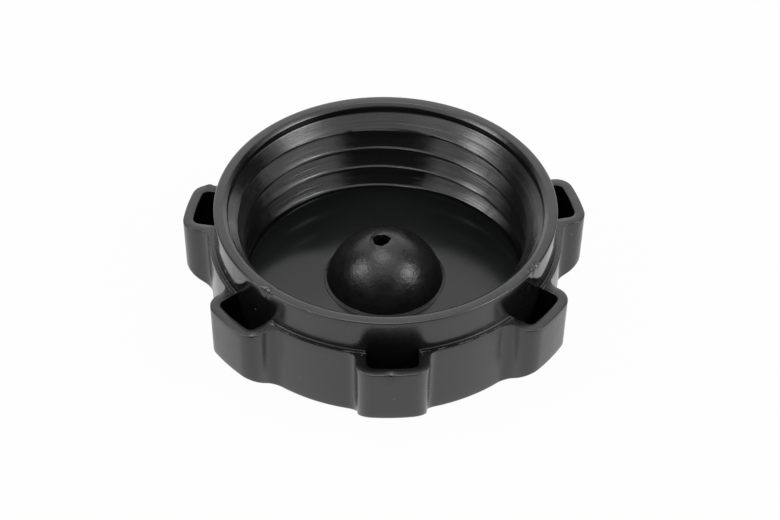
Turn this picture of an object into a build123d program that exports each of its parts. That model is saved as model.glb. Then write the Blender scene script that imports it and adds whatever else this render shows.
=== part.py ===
from build123d import *
import math
import os

# Fuel filler cap: a one-piece moulded shell with a hollow seven-lobed grip
# and a coarse internal thread, a flat sealing gasket on its floor, and a
# domed vent baffle pressed onto a boss in the middle of the floor.
# Millimetres, +Z up. The cap stands on its crown with its mouth up, and the
# origin is the centre of the crown's outer face. One lobe points along -Y.

# ---- overall sizes --------------------------------------------------------
CAP_H = 19.8            # crown face to mouth rim
COLLAR_R = 28.0         # plain collar that stands above the grip
COLLAR_H = 5.9          # rim down to the ledge around the collar
LEDGE_W = 1.0           # ledge, from the collar out to the grip wall
LOBES = 7
LOBE_PROUD = 4.5        # lobe tip beyond the grip wall

# ---- grip -----------------------------------------------------------------
LOBE_HALF_W = 5.8
LOBE_CORNER_R = 2.8
LOBE_ROOT_R = 1.8       # hollow corner where a lobe meets the grip wall
GRIP_DRAFT = 1.5        # degrees, narrowing towards the crown
GRIP_WALL = 1.7
POCKET_CORNER_R = 1.2
POCKET_FLOOR_Z = 5.0
POCKET_FLOOR_EDGE_R = 0.5
CHAMFER_H = 4.2         # crown face up to the foot of a lobe's outer wall
CHAMFER_W = 6.3         # lobe tip in to the edge of the crown face
CROWN_EDGE_R = 1.0      # rounding between the crown face and the cone
FOOT_EDGE_R = 1.0       # rounding between the cone and the grip's walls
COLLAR_FOOT_R = 0.5
RIM_EDGE_R = 0.3
GRIP_EDGE_R = 0.3

# ---- mouth and thread -----------------------------------------------------
CROWN_T = 2.0
RIM_W = 1.55            # flat rim
MOUTH_CHAMFER_W = 0.65
MOUTH_CHAMFER_H = 0.5
MOUTH_BORE_FOOT = 1.6   # rim down to the foot of the short plain bore
LEAD_IN_SLOPE = 0.78    # drop over run of the cone below the plain bore
THREAD_WALL = 3.6       # collar's outside in to the thread's root
THREAD_DEPTH = 1.2
THREAD_PITCH = 4.2
THREAD_CREST_W = 0.3
THREAD_UPPER_FLANK_H = 2.6   # long flank, facing the mouth
THREAD_LOWER_FLANK_H = 0.6   # short flank, facing the crown
THREAD_START_ANGLE = 87.0    # where the crest first stands CREST_DROP below the rim
CREST_DROP = 3.5
THREAD_ROOT_OVERLAP = 0.3    # how far the ridge reaches into the wall behind it
THREAD_RUN_UP = 0.6          # turns that run on above the first crest, cut by the cone

# ---- gasket, in a shallow seat inside the thread's crest ------------------
GASKET_T = 1.7
GASKET_EDGE_GAP = 0.2   # to the wall of its seat
GASKET_HOLE_GAP = 0.3   # to the vent baffle's skirt

# ---- vent baffle and the boss inside it -----------------------------------
BAFFLE_R = 9.6          # foot of the dome
BAFFLE_DOME_H = 7.6
BAFFLE_WALL = 1.4
SKIRT_LEDGE = 0.5       # skirt's shoulder, beyond the foot of the dome
SKIRT_RISE = 0.7        # that shoulder above the gasket
SKIRT_WALL = 1.75
VENT_R = 1.3
BOSS_FIT = 0.05         # radial gap between boss and skirt
BOSS_WALL = 1.4
BOSS_TOP_GAP = 0.4      # boss below the skirt's shoulder
CROWN_VENT_R = 0.8
CROWN_VENT_OFFSET = 3.0   # inside the boss, beside the axis

# ---- worked out -----------------------------------------------------------
GRIP_R = COLLAR_R + LEDGE_W
LOBE_REACH = GRIP_R + LOBE_PROUD
LEDGE_Z = CAP_H - COLLAR_H
TAPER = math.tan(math.radians(GRIP_DRAFT))
LOBE_FOOT_R = LOBE_REACH - (LEDGE_Z - CHAMFER_H) * TAPER
CROWN_R = LOBE_REACH - CHAMFER_W
MOUTH_R = COLLAR_R - RIM_W
MOUTH_BORE_R = MOUTH_R - MOUTH_CHAMFER_W
MOUTH_BORE_Z = CAP_H - MOUTH_BORE_FOOT
THREAD_ROOT_R = COLLAR_R - THREAD_WALL
THREAD_CREST_R = THREAD_ROOT_R - THREAD_DEPTH
GASKET_TOP = CROWN_T + GASKET_T
GASKET_SEAT_R = THREAD_CREST_R
GASKET_R = GASKET_SEAT_R - GASKET_EDGE_GAP
SKIRT_R = BAFFLE_R + SKIRT_LEDGE
SKIRT_BORE_R = SKIRT_R - SKIRT_WALL
SKIRT_TOP = GASKET_TOP + SKIRT_RISE
GASKET_HOLE_R = SKIRT_R + GASKET_HOLE_GAP
BOSS_R = SKIRT_BORE_R - BOSS_FIT
BOSS_TOP = SKIRT_TOP - BOSS_TOP_GAP
NEAR = 0.01             # how close a point counts as being on a circle


def ring_of_lobes(grip_r, reach, half_w, corner_r, root_r):
    """Plan of a disc with round-cornered lobes, the first along local +Y."""
    with BuildSketch() as plan:
        with PolarLocations(0, LOBES, start_angle=90):
            Rectangle(reach + half_w, 2 * half_w, align=(Align.MIN, Align.CENTER))
        Circle(reach, mode=Mode.INTERSECT)
        if grip_r:
            Circle(grip_r)
        near_tip = [v for v in plan.vertices() if v.center().length > reach - NEAR]
        fillet(near_tip, corner_r)
        if root_r:
            near_ring = [
                v for v in plan.vertices() if abs(v.center().length - grip_r) < NEAR
            ]
            fillet(near_ring, root_r)
    return plan.sketch


def turned(points):
    """Solid of revolution about Z from (radius, height) points."""
    with BuildPart() as solid:
        with BuildSketch(Plane.XZ):
            with BuildLine():
                Polyline(points, close=True)
            make_face()
        revolve(axis=Axis.Z)
    return solid.part


def underside_limit():
    """Everything above the crown face and its cone, with a rounded edge between them."""
    reach = LOBE_REACH + GRIP_WALL
    slope = CHAMFER_H / (LOBE_FOOT_R - CROWN_R)
    with BuildPart() as solid:
        with BuildSketch(Plane.XZ):
            with BuildLine():
                Polyline(
                    (0, 0),
                    (CROWN_R, 0),
                    (reach, (reach - CROWN_R) * slope),
                    (reach, CAP_H),
                    (0, CAP_H),
                    close=True,
                )
            plan = make_face()
            edge = plan.vertices().sort_by_distance((CROWN_R, 0, 0))[0]
            fillet(edge, CROWN_EDGE_R)
        revolve(axis=Axis.Z)
    return solid.part


def grip():
    """Lobed grip with draft, cut underneath by one cone down to the crown."""
    from_above = Plane(origin=(0, 0, LEDGE_Z), x_dir=(1, 0, 0), z_dir=(0, 0, -1))
    plan = ring_of_lobes(GRIP_R, LOBE_REACH, LOBE_HALF_W, LOBE_CORNER_R, LOBE_ROOT_R)
    body = extrude(from_above * plan, amount=LEDGE_Z, taper=GRIP_DRAFT)
    body &= underside_limit()
    foot_edges = [
        e
        for e in body.edges()
        if e.bounding_box().min.Z > CROWN_EDGE_R / 2
        and e.bounding_box().max.Z < CHAMFER_H + FOOT_EDGE_R
    ]
    body = fillet(foot_edges, FOOT_EDGE_R)
    top_edges = body.faces().sort_by(Axis.Z)[-1].edges()
    return fillet(top_edges, GRIP_EDGE_R)


def collar():
    """Plain collar with a rounded rim and a small fillet at its foot."""
    with BuildPart() as solid:
        with BuildSketch(Plane.XZ):
            with BuildLine():
                Polyline(
                    (0, CROWN_T),
                    (COLLAR_R - GRIP_WALL, CROWN_T),
                    (COLLAR_R - GRIP_WALL, LEDGE_Z - COLLAR_FOOT_R),
                    (COLLAR_R + COLLAR_FOOT_R, LEDGE_Z - COLLAR_FOOT_R),
                    (COLLAR_R + COLLAR_FOOT_R, LEDGE_Z),
                )
                RadiusArc(
                    (COLLAR_R + COLLAR_FOOT_R, LEDGE_Z),
                    (COLLAR_R, LEDGE_Z + COLLAR_FOOT_R),
                    COLLAR_FOOT_R,
                )
                Line((COLLAR_R, LEDGE_Z + COLLAR_FOOT_R), (COLLAR_R, CAP_H - RIM_EDGE_R))
                RadiusArc(
                    (COLLAR_R, CAP_H - RIM_EDGE_R),
                    (COLLAR_R - RIM_EDGE_R, CAP_H),
                    -RIM_EDGE_R,
                )
                Polyline((COLLAR_R - RIM_EDGE_R, CAP_H), (0, CAP_H), (0, CROWN_T))
            make_face()
        revolve(axis=Axis.Z)
    return solid.part


def pockets():
    """The hollows inside the lobes, open on the mouth side."""
    plan = ring_of_lobes(
        0, LOBE_REACH - GRIP_WALL, LOBE_HALF_W - GRIP_WALL, POCKET_CORNER_R, 0
    )
    from_above = Plane(origin=(0, 0, CAP_H), x_dir=(1, 0, 0), z_dir=(0, 0, -1))
    plan -= Circle(COLLAR_R)
    hollows = extrude(from_above * plan, amount=CAP_H - POCKET_FLOOR_Z)
    floor_edges = hollows.edges().group_by(Axis.Z)[0]
    return fillet(floor_edges, POCKET_FLOOR_EDGE_R)


def cone_z(radius):
    """Height of the lead-in cone at a radius."""
    return MOUTH_BORE_Z - (MOUTH_BORE_R - radius) * LEAD_IN_SLOPE


def bore():
    """Everything hollow inside the collar, without the thread."""
    return turned(
        [
            (0, CROWN_T),
            (GASKET_SEAT_R, CROWN_T),
            (GASKET_SEAT_R, GASKET_TOP),
            (THREAD_ROOT_R, GASKET_TOP),
            (THREAD_ROOT_R, cone_z(THREAD_ROOT_R)),
            (MOUTH_BORE_R, MOUTH_BORE_Z),
            (MOUTH_BORE_R, CAP_H - MOUTH_CHAMFER_H),
            (MOUTH_R, CAP_H),
            (0, CAP_H),
        ]
    )


def thread():
    """Right-hand ridge: long flank to the mouth, short flank to the crown."""
    lowest = GASKET_TOP - THREAD_LOWER_FLANK_H
    turns_down = (CAP_H - CREST_DROP - lowest) / THREAD_PITCH
    start_angle = THREAD_START_ANGLE - 360 * turns_down
    helix = Helix(
        THREAD_PITCH, THREAD_PITCH * (turns_down + THREAD_RUN_UP), THREAD_CREST_R
    )
    half_crest = THREAD_CREST_W / 2
    upper = half_crest + THREAD_UPPER_FLANK_H
    lower = half_crest + THREAD_LOWER_FLANK_H
    depth = THREAD_ROOT_R - THREAD_CREST_R
    section = Plane(origin=helix @ 0, x_dir=(1, 0, 0), z_dir=-(helix % 0))
    outline = Polyline(
        (0, -half_crest),
        (0, half_crest),
        (depth, upper),
        (depth + THREAD_ROOT_OVERLAP, upper),
        (depth + THREAD_ROOT_OVERLAP, -lower),
        (depth, -lower),
        close=True,
    )
    ridge = sweep(section * make_face(outline), path=helix, is_frenet=True)
    ridge = Pos(0, 0, lowest) * Rot(0, 0, start_angle) * ridge
    outside = THREAD_ROOT_R + THREAD_ROOT_OVERLAP / 2
    inside = THREAD_CREST_R - THREAD_ROOT_OVERLAP
    return ridge & turned(
        [
            (0, GASKET_TOP),
            (outside, GASKET_TOP),
            (outside, cone_z(outside)),
            (inside, cone_z(inside)),
            (0, cone_z(inside)),
        ]
    )


def boss():
    """Short tube on the floor that holds the vent baffle."""
    return turned(
        [
            (BOSS_R - BOSS_WALL, CROWN_T / 2),
            (BOSS_R, CROWN_T / 2),
            (BOSS_R, BOSS_TOP),
            (BOSS_R - BOSS_WALL, BOSS_TOP),
        ]
    )


def cap_shell():
    shell = grip() + collar() - pockets() - bore()
    shell += thread()
    shell += boss()
    vent = Pos(CROWN_VENT_OFFSET, 0, CROWN_T / 2) * Cylinder(CROWN_VENT_R, 2 * CROWN_T)
    return shell - vent


def sealing_gasket():
    """Flat rubber ring on the floor, around the vent baffle's skirt."""
    return turned(
        [
            (GASKET_HOLE_R, CROWN_T),
            (GASKET_R, CROWN_T),
            (GASKET_R, GASKET_TOP),
            (GASKET_HOLE_R, GASKET_TOP),
        ]
    )


def sphere_arc(foot_r, foot_z, height, edge_r):
    """Start, middle and end of a dome profile from its foot to a top hole."""
    ball_r = (foot_r**2 + height**2) / (2 * height)
    centre_z = foot_z + height - ball_r
    foot_angle = math.atan2(foot_z - centre_z, foot_r)
    edge_angle = math.acos(edge_r / ball_r)
    return [
        (ball_r * math.cos(a), centre_z + ball_r * math.sin(a))
        for a in (foot_angle, (foot_angle + edge_angle) / 2, edge_angle)
    ]


def vent_baffle():
    """Domed baffle with a vent hole, on a short skirt that fits over the boss."""
    outer = sphere_arc(BAFFLE_R, SKIRT_TOP, BAFFLE_DOME_H, VENT_R)
    inner = sphere_arc(
        BAFFLE_R - BAFFLE_WALL, SKIRT_TOP, BAFFLE_DOME_H - BAFFLE_WALL, VENT_R
    )
    with BuildPart() as solid:
        with BuildSketch(Plane.XZ):
            with BuildLine():
                Polyline(
                    inner[0],
                    (SKIRT_BORE_R, SKIRT_TOP),
                    (SKIRT_BORE_R, CROWN_T),
                    (SKIRT_R, CROWN_T),
                    (SKIRT_R, SKIRT_TOP),
                    outer[0],
                )
                ThreePointArc(*outer)
                Line(outer[2], inner[2])
                ThreePointArc(*inner)
            make_face()
        revolve(axis=Axis.Z)
    return solid.part


def main():
    os.makedirs("parts", exist_ok=True)
    pieces = {
        "cap_shell": cap_shell(),
        "sealing_gasket": sealing_gasket(),
        "vent_baffle": vent_baffle(),
    }
    for name, solid in pieces.items():
        export_step(solid, f"parts/{name}.step")


main()
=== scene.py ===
"""Fuel filler cap: a moulded shell with a lobed grip and an internal thread, a gasket and a vent baffle.

The shell's outside is one seventh of a section, which a Geometry Nodes tree repeats around the axis. Its
threaded wall is a grid whose rows climb with the thread, and a second tree presses the ridge out of it.
Lengths are metres, +Z is up and out of the mouth, and one lobe points along -Y.
"""

import math

import bmesh
import bpy
import numpy as np
from mathutils import Matrix, Vector, noise


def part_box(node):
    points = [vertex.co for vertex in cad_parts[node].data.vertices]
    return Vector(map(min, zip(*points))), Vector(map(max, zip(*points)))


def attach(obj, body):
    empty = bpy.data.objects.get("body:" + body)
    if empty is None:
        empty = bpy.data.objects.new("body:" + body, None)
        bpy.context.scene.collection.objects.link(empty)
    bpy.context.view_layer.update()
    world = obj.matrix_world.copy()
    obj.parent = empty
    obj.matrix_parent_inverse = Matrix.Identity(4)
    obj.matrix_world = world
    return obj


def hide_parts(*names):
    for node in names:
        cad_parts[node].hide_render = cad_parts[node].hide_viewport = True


bl_info = {
    "name": "Fuel filler cap",
    "version": (1, 0, 0),
    "blender": (4, 5, 0),
    "location": "3D Viewport > Sidebar > Filler Cap",
    "description": "Builds a screw-on filler cap with a lobed grip, a gasket and a vent baffle",
    "category": "Add Mesh",
}

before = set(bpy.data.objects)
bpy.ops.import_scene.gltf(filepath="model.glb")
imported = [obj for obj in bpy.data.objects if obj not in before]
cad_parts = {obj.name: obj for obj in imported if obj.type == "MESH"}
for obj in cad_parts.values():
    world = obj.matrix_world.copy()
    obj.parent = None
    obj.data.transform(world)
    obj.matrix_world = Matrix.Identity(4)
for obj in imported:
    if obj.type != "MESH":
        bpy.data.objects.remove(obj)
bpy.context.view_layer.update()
SHELL_LOW, SHELL_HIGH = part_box("cap_shell")
GASKET_LOW, GASKET_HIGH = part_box("sealing_gasket")
BAFFLE_LOW, BAFFLE_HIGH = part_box("vent_baffle")

MM = 0.001
TURN = 2 * math.pi
WELD = 0.5e-6

# Columns of the shell's grid in half a sector, counted from a lobe's middle outwards.
TIP_COLUMNS = 9
CORNER_COLUMNS = 12
SIDE_COLUMNS = 2
ROOT_COLUMNS = 8
GAP_COLUMNS = 14
POCKET_TIP_COLUMNS = 7
POCKET_CORNER_COLUMNS = 9
POCKET_SIDE_COLUMNS = 4
POCKET_COLUMNS = POCKET_TIP_COLUMNS + POCKET_CORNER_COLUMNS + POCKET_SIDE_COLUMNS
HALF_COLUMNS = TIP_COLUMNS + CORNER_COLUMNS + SIDE_COLUMNS + ROOT_COLUMNS + GAP_COLUMNS
POCKET_SEAM = 0.03 * MM
FOOT_ROUNDS = 6

# Roundings of the shell's corners, each as the length cut from the sides beside it.
CROWN_CUT = 0.31 * MM
FOOT_CUT = 0.51 * MM
LEDGE_CUT = 0.22 * MM
POCKET_EDGE_CUT = 0.2 * MM
POCKET_FLOOR_CUT = 0.5 * MM
COLLAR_FOOT_CUT = 0.2 * MM
COLLAR_FOOT_RUN = 0.72 * MM
RIM_CUT = 0.3 * MM
FINE_CUT = 0.09 * MM
SEAT_CUT = 0.2 * MM
FINE_EDGE = 0.02 * MM
DOME_FOOT_CUT = 0.06 * MM
HIGH_SHARE = 0.7

# Rows of the threaded wall on each side of a crest, as shares of its flanks.
BELOW_ROWS = (1.15, 0.9, 0.5, 0.1, 0)
ABOVE_ROWS = (0, 0.02, 0.04, 0.06, 0.09, 0.3, 0.6, 0.85, 1, 1.06)
WRAP_SHARE = 1.2
RUN_OUT_END = 0.8
THREAD_SIZES = (
    "Root Radius",
    "Crest Radius",
    "Pitch",
    "Crest Width",
    "Upper Flank",
    "Lower Flank",
    "Bore Radius",
    "Cone Slope",
)

# Turned pieces.
TURNED_COLUMNS = 256
GASKET_RINGS = 26
DOME_STEPS = 36

# Wear: dents, and the vent hole's ragged edge. The hole's lobes are (number, size in mm, start).
DENT_ROUGHNESS = 0.6
DENT_GRAIN = 0.35 * MM
LOBE_DENTS = 26
DENT_SIZES = (0.25, 0.6)
DENT_DEPTH = 0.12
DENT_BACK = 0.1 * MM
HOLE_REACH = 1.6 * MM
HOLE_LOBES = ((2, 0.1, 0.5), (3, 0.09, 0.4), (7, 0.05, 0.0))
HOLE_SINK = 0.16 * MM
BURR_RUN = 0.5 * MM
BURR_WIDTH = 0.3 * MM
BURR_HEIGHT = 0.2 * MM
BURR_MEAN = 0.6
BURR_SWING = 0.4
BURR_LOW_SIDE = 0.3

# Finishes: tool rings, dust, the line on the ledge with its painted highlight, the scratch on the collar,
# and gloss.
RING_SLANT = 0.7
RING_FADE = 0.5
RING_HEIGHT = 0.9
SMALLEST_SPECK = 0.4
LINE_RUN = 0.62 * MM
SCRATCH_ANGLE = math.radians(-151.7)
SCRATCH_RISE = 2.9 * MM
# Lighter colour of the dust, the scratch and the ledge line; on the ledge line it is a painted highlight.
MARK_AND_HIGHLIGHT_COLOUR = (0.16, 0.155, 0.15)
DUST_COLOUR = (0.14, 0.14, 0.135)
MARK_ROUGHNESS = 0.4
MARK_HEIGHT = 0.8
BORE_GLOSS = 0.11
COLLAR_GLOSS = 0.15

# Sockets of Blender's nodes: types by their defaults, and the Mix node's colours by number.
SOCKET_TYPES = {float: "NodeSocketFloat", int: "NodeSocketInt", tuple: "NodeSocketVector"}
FIRST_COLOUR = 6
SECOND_COLOUR = 7
MIXED_COLOUR = 2

# Studio: camera and lamps, with the cap's crown on the floor at the origin.
EYE = (-14.65 * MM, -307.64 * MM, 290.29 * MM)
LOOK_AT = (0.16 * MM, -13.36 * MM, 19.8 * MM)
ROLL = math.radians(0.89)
SENSOR = 36.0
LENS = 116.31
FLOOR_HALF = 3.0
FLOOR_GAP = 0.02 * MM
WORLD_FILL = 0.3
TENT_SHINE = 1.0
OPENING_SHINE = 0.05
OPENING_HALF = math.radians(33)
OPENING_TOP = 0.76
OPENING_SOFT = 0.12
EDGE_SOFT = 0.04
BACK_FROM = 0.745
BACK_TO = 0.785
BACK_SHINE = 1.62
GAP_MIDDLE = math.radians(113)
GAP_HALF = math.radians(14)
# Each is (name, direction, distance, width, depth, brightness).
SOFTBOXES = (
    ("left_softbox", (-0.725, -0.062, 0.687), 0.6, 0.2, 0.2, 6.5),
    ("right_softbox", (0.718, -0.229, 0.657), 0.6, 0.2, 0.2, 8.0),
    ("overhead_softbox", (-0.058, 0.143, 0.989), 0.7, 0.3, 0.3, 3.0),
)


# ---- settings ---------------------------------------------------------------


def length_setting(name, description, default, low=0.0, high=0.1):
    """A size in metres that a user may change."""
    return bpy.props.FloatProperty(
        name=name, description=description, default=default, min=low, max=high, precision=5, unit="LENGTH"
    )


def angle_setting(name, description, degrees):
    """An angle that a user may change."""
    return bpy.props.FloatProperty(
        name=name, description=description, default=math.radians(degrees), subtype="ANGLE"
    )


def colour_setting(name, description, default):
    """A colour that a user may change."""
    return bpy.props.FloatVectorProperty(
        name=name, description=description, default=default, subtype="COLOR", size=3, min=0, max=1
    )


class FillerCapShellSettings(bpy.types.PropertyGroup):
    """Sizes of the moulded shell."""

    lobes: bpy.props.IntProperty(name="Lobes", description="Number of grip lobes", default=7, min=3, max=12)
    height: length_setting("Height", "Crown face to rim", SHELL_HIGH.z)
    lobe_reach: length_setting("Lobe Reach", "Axis to a lobe's tip", -SHELL_LOW.y)
    grip_radius: length_setting("Grip Radius", "Grip wall between the lobes", 29 * MM)
    collar_radius: length_setting("Collar Radius", "Plain collar above the grip", 28 * MM)
    collar_height: length_setting("Collar Height", "Rim down to the ledge", 5.9 * MM)
    lobe_half_width: length_setting("Lobe Half Width", "Half of a lobe's width", 5.8 * MM)
    lobe_corner: length_setting("Lobe Corner", "Radius of a lobe's outer corners", 2.8 * MM)
    lobe_root: length_setting("Lobe Root", "Radius of the hollow beside a lobe", 1.8 * MM)
    draft: angle_setting("Draft", "Slope of the grip's walls", 1.5)
    wall: length_setting("Wall", "Thickness of the grip's walls", 1.7 * MM)
    pocket_corner: length_setting("Pocket Corner", "Radius of a pocket's outer corners", 1.2 * MM)
    pocket_floor: length_setting("Pocket Floor", "Height of a pocket's floor", 5 * MM)
    chamfer_height: length_setting("Chamfer Height", "Crown face to the foot of a lobe", 4.2 * MM)
    crown_radius: length_setting("Crown Radius", "Flat face under the cap", 27.2 * MM)
    mouth_radius: length_setting("Mouth Radius", "Inner edge of the rim", 26.45 * MM)
    bore_radius: length_setting("Bore Radius", "Plain bore inside the rim", 25.8 * MM)
    bore_top: length_setting("Bore Top", "Rim down to the plain bore", 0.5 * MM)
    bore_foot: length_setting("Bore Foot", "Rim down to the plain bore's foot", 1.6 * MM)
    cone_slope: bpy.props.FloatProperty(
        name="Cone Slope", description="Drop over run of the lead-in cone", default=0.78, min=0.2, max=3
    )
    cone_end: length_setting("Cone End", "Radius where the cone meets the threaded wall's grid", 25.4 * MM)
    root_radius: length_setting("Root Radius", "Wall between the thread's turns", 25.0 * MM)
    crest_radius: length_setting("Crest Radius", "Thread's crest", 23.2 * MM)
    pitch: length_setting("Pitch", "Thread's climb in one turn", 4.2 * MM)
    crest_width: length_setting("Crest Width", "Flat top of the thread's ridge", 0.3 * MM)
    upper_flank: length_setting("Upper Flank", "Height of the flank towards the mouth", 2.45 * MM)
    lower_flank: length_setting("Lower Flank", "Height of the flank towards the crown", 0.6 * MM)
    crest_drop: length_setting("Crest Drop", "Rim down to the first crest at the start angle", 3.5 * MM)
    start_angle: angle_setting("Start Angle", "Where the crest drop is measured", 87)
    seat_radius: length_setting("Seat Radius", "Recess for the gasket", GASKET_HIGH.x + 0.03 * MM)
    boss_radius: length_setting("Boss Radius", "Tube inside the vent baffle", 8.3 * MM)
    boss_wall: length_setting("Boss Wall", "Thickness of that tube", 1.4 * MM)
    boss_height: length_setting("Boss Height", "Height of that tube", 2 * MM)
    vent_radius: length_setting("Vent Radius", "Small hole through the crown", 0.8 * MM)
    vent_offset: length_setting("Vent Offset", "Axis to that hole", 3 * MM)


class FillerCapInsertSettings(bpy.types.PropertyGroup):
    """Sizes of the gasket and the vent baffle."""

    gasket_edge: length_setting("Gasket Edge", "Rounding of the gasket's edges", 0.08 * MM)
    hollow_depth: length_setting("Hollow Depth", "Hollow in the gasket's upper face", 0.4 * MM)
    hollow_x: length_setting("Hollow X", "Hollow's middle, to the right", -16.5 * MM, -0.1)
    hollow_y: length_setting("Hollow Y", "Hollow's middle, to the back", -5 * MM, -0.1)
    hollow_width: length_setting("Hollow Width", "Hollow's middle to its side", 12 * MM, 0.0001)
    hollow_length: length_setting("Hollow Length", "Hollow's middle to its front or back", 15 * MM, 0.0001)
    dome_radius: length_setting("Dome Radius", "Foot of the baffle's dome", 9.66 * MM)
    dome_back: length_setting("Dome Back", "Dome set back on its skirt", 0.34 * MM)
    dome_wall: length_setting("Dome Wall", "Thickness of the dome", 1.3 * MM)
    hole_radius: length_setting("Hole Radius", "Vent hole in the dome", 1.35 * MM)
    hole_shift: length_setting("Hole Shift", "Vent hole off the axis, to the right", -0.6 * MM, -0.01)
    hole_back: length_setting("Hole Back", "Vent hole off the axis, to the back", 0.4 * MM, -0.01)
    dome_base: length_setting("Dome Base", "Gasket up to where the dome's foot is measured", 0.0)
    shoulder: length_setting("Shoulder", "Skirt's top above the gasket", 0.005 * MM)
    skirt_bore: length_setting("Skirt Bore", "Inside of the skirt", 8.35 * MM)
    gasket_hole: length_setting("Gasket Hole", "Inside of the gasket", BAFFLE_HIGH.x + 0.015 * MM)
    dome_height: length_setting("Dome Height", "That place to the dome's top", 7.95 * MM)


class FillerCapFinishSettings(bpy.types.PropertyGroup):
    """Colours and gloss."""

    shell_colour: colour_setting("Shell Colour", "Moulded plastic", (0.009, 0.009, 0.0095))
    gasket_colour: colour_setting("Gasket Colour", "Rubber", (0.013, 0.014, 0.014))
    baffle_colour: colour_setting("Baffle Colour", "Vent baffle's plastic", (0.009, 0.009, 0.009))
    floor_colour: colour_setting("Floor Colour", "Studio floor", (0.9, 0.9, 0.9))
    floor_white: bpy.props.FloatProperty(
        name="Floor White", description="Share of the floor shown white", default=0.97, min=0, max=1
    )


# ---- points, rows and grids -------------------------------------------------


def on_circle(radius, angles, centre=(0.0, 0.0)):
    """Points in the plan, as an array with one row for each angle."""
    angles = np.asarray(angles, float)
    radius = np.broadcast_to(radius, angles.shape)
    return np.stack([centre[0] + radius * np.cos(angles), centre[1] + radius * np.sin(angles)], axis=1)


def raised(plan, height):
    """Plan points at a height."""
    return np.column_stack([plan, np.broadcast_to(height, len(plan))])


def steps_between(start, end, count):
    """count values from just after start up to end."""
    return np.linspace(start, end, count + 1)[1:]


def round_corner(before, here, after, size, steps, share=0.48):
    """Rows that round a section's corner, limited to a share of the shorter side."""
    back, ahead = before - here, after - here
    back_length = np.linalg.norm(back, axis=1, keepdims=True) + 1e-12
    ahead_length = np.linalg.norm(ahead, axis=1, keepdims=True) + 1e-12
    cut = np.minimum(size, share * np.minimum(back_length, ahead_length))
    start = here + back / back_length * cut
    end = here + ahead / ahead_length * cut
    shares = np.linspace(0, 1, steps + 1)
    return [(1 - t) ** 2 * start + 2 * t * (1 - t) * here + t**2 * end for t in shares]


def section_rows(corners):
    """Rows through a section's corners.

    Each corner is (points, rounding, steps in it, rows to the next), and may add the rounding's share.
    """
    groups = []
    for i, (here, size, steps, _, *share) in enumerate(corners):
        inner = 0 < i < len(corners) - 1
        if size and inner:
            groups.append(round_corner(corners[i - 1][0], here, corners[i + 1][0], size, steps, *share))
        else:
            groups.append([here])
    rows = []
    for i, group in enumerate(groups):
        rows += group
        if i + 1 < len(groups):
            shares = np.linspace(0, 1, corners[i][3] + 1)[1:-1]
            rows += [group[-1] + (groups[i + 1][0] - group[-1]) * t for t in shares]
    return rows


def grid_mesh(name, rows, closed_columns=False, closed_rows=False):
    """Mesh of quads through rows of points, all with the same number of columns."""
    points = np.asarray(rows, float)
    row_count, column_count = points.shape[:2]
    index = np.arange(row_count * column_count).reshape(row_count, column_count)
    if closed_columns:
        index = np.column_stack([index, index[:, :1]])
    if closed_rows:
        index = np.vstack([index, index[:1]])
    quads = np.stack([index[:-1, :-1], index[:-1, 1:], index[1:, 1:], index[1:, :-1]], axis=-1)
    mesh = bpy.data.meshes.new(name)
    mesh.from_pydata(points.reshape(-1, 3).tolist(), [], quads.reshape(-1, 4).tolist())
    return mesh


def new_object(name, mesh):
    """Object at the origin, in the scene."""
    piece = bpy.data.objects.new(name, mesh)
    bpy.context.scene.collection.objects.link(piece)
    return piece


def smooth(mesh, sharp_above=math.radians(38)):
    """Smooth shading that keeps real corners."""
    mesh.polygons.foreach_set("use_smooth", [True] * len(mesh.polygons))
    mesh.set_sharp_from_angle(angle=sharp_above)
    mesh.update()


def close_mesh(mesh):
    """Welds doubles, drops collapsed faces and turns all faces outwards."""
    work = bmesh.new()
    work.from_mesh(mesh)
    bmesh.ops.remove_doubles(work, verts=work.verts, dist=WELD)
    bmesh.ops.dissolve_degenerate(work, edges=work.edges, dist=WELD)
    bmesh.ops.recalc_face_normals(work, faces=work.faces)
    work.to_mesh(mesh)
    work.free()


def points_of(mesh):
    """A mesh's vertices as an array."""
    points = np.empty(len(mesh.vertices) * 3)
    mesh.vertices.foreach_get("co", points)
    return points.reshape(-1, 3)


def put_points(mesh, points):
    """Writes an array back to a mesh's vertices."""
    mesh.vertices.foreach_set("co", points.ravel())
    mesh.update()


# ---- node trees -------------------------------------------------------------


class Output:
    """A node's output. Sums with it add Math nodes to its tree."""

    def __init__(self, socket):
        self.socket = socket
        self.tree = socket.id_data

    def __add__(self, other):
        return maths("ADD", self, other)

    def __sub__(self, other):
        return maths("SUBTRACT", self, other)

    def __rsub__(self, other):
        return maths("SUBTRACT", other, self)

    def __mul__(self, other):
        return maths("MULTIPLY", self, other)

    def __truediv__(self, other):
        return maths("DIVIDE", self, other)

    def __rtruediv__(self, other):
        return maths("DIVIDE", other, self)

    def __abs__(self):
        return maths("ABSOLUTE", self)


class Outputs:
    """A node's outputs, by name, by number or in turn."""

    def __init__(self, node):
        self.node = node

    def __getitem__(self, key):
        return Output(self.node.outputs[key])

    def __iter__(self):
        return (Output(socket) for socket in self.node.outputs)


def feed(socket, value):
    """Links an output to a socket, or sets the socket's own value."""
    if isinstance(value, Output):
        value.tree.links.new(value.socket, socket)
    else:
        socket.default_value = value


def add_node(tree, kind, inputs=None, label="", **settings):
    """Node with its settings and what its inputs take. Gives back its outputs."""
    node = tree.nodes.new(kind)
    node.label = label
    for key, value in settings.items():
        setattr(node, key, value)
    for key, value in (inputs or {}).items():
        feed(node.inputs[key], value)
    return Outputs(node)


def maths(operation, *values):
    """What a Math node makes of its values, of which at least one is an output."""
    tree = next(value.tree for value in values if isinstance(value, Output))
    return add_node(tree, "ShaderNodeMath", dict(enumerate(values)), operation=operation)[0]


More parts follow.
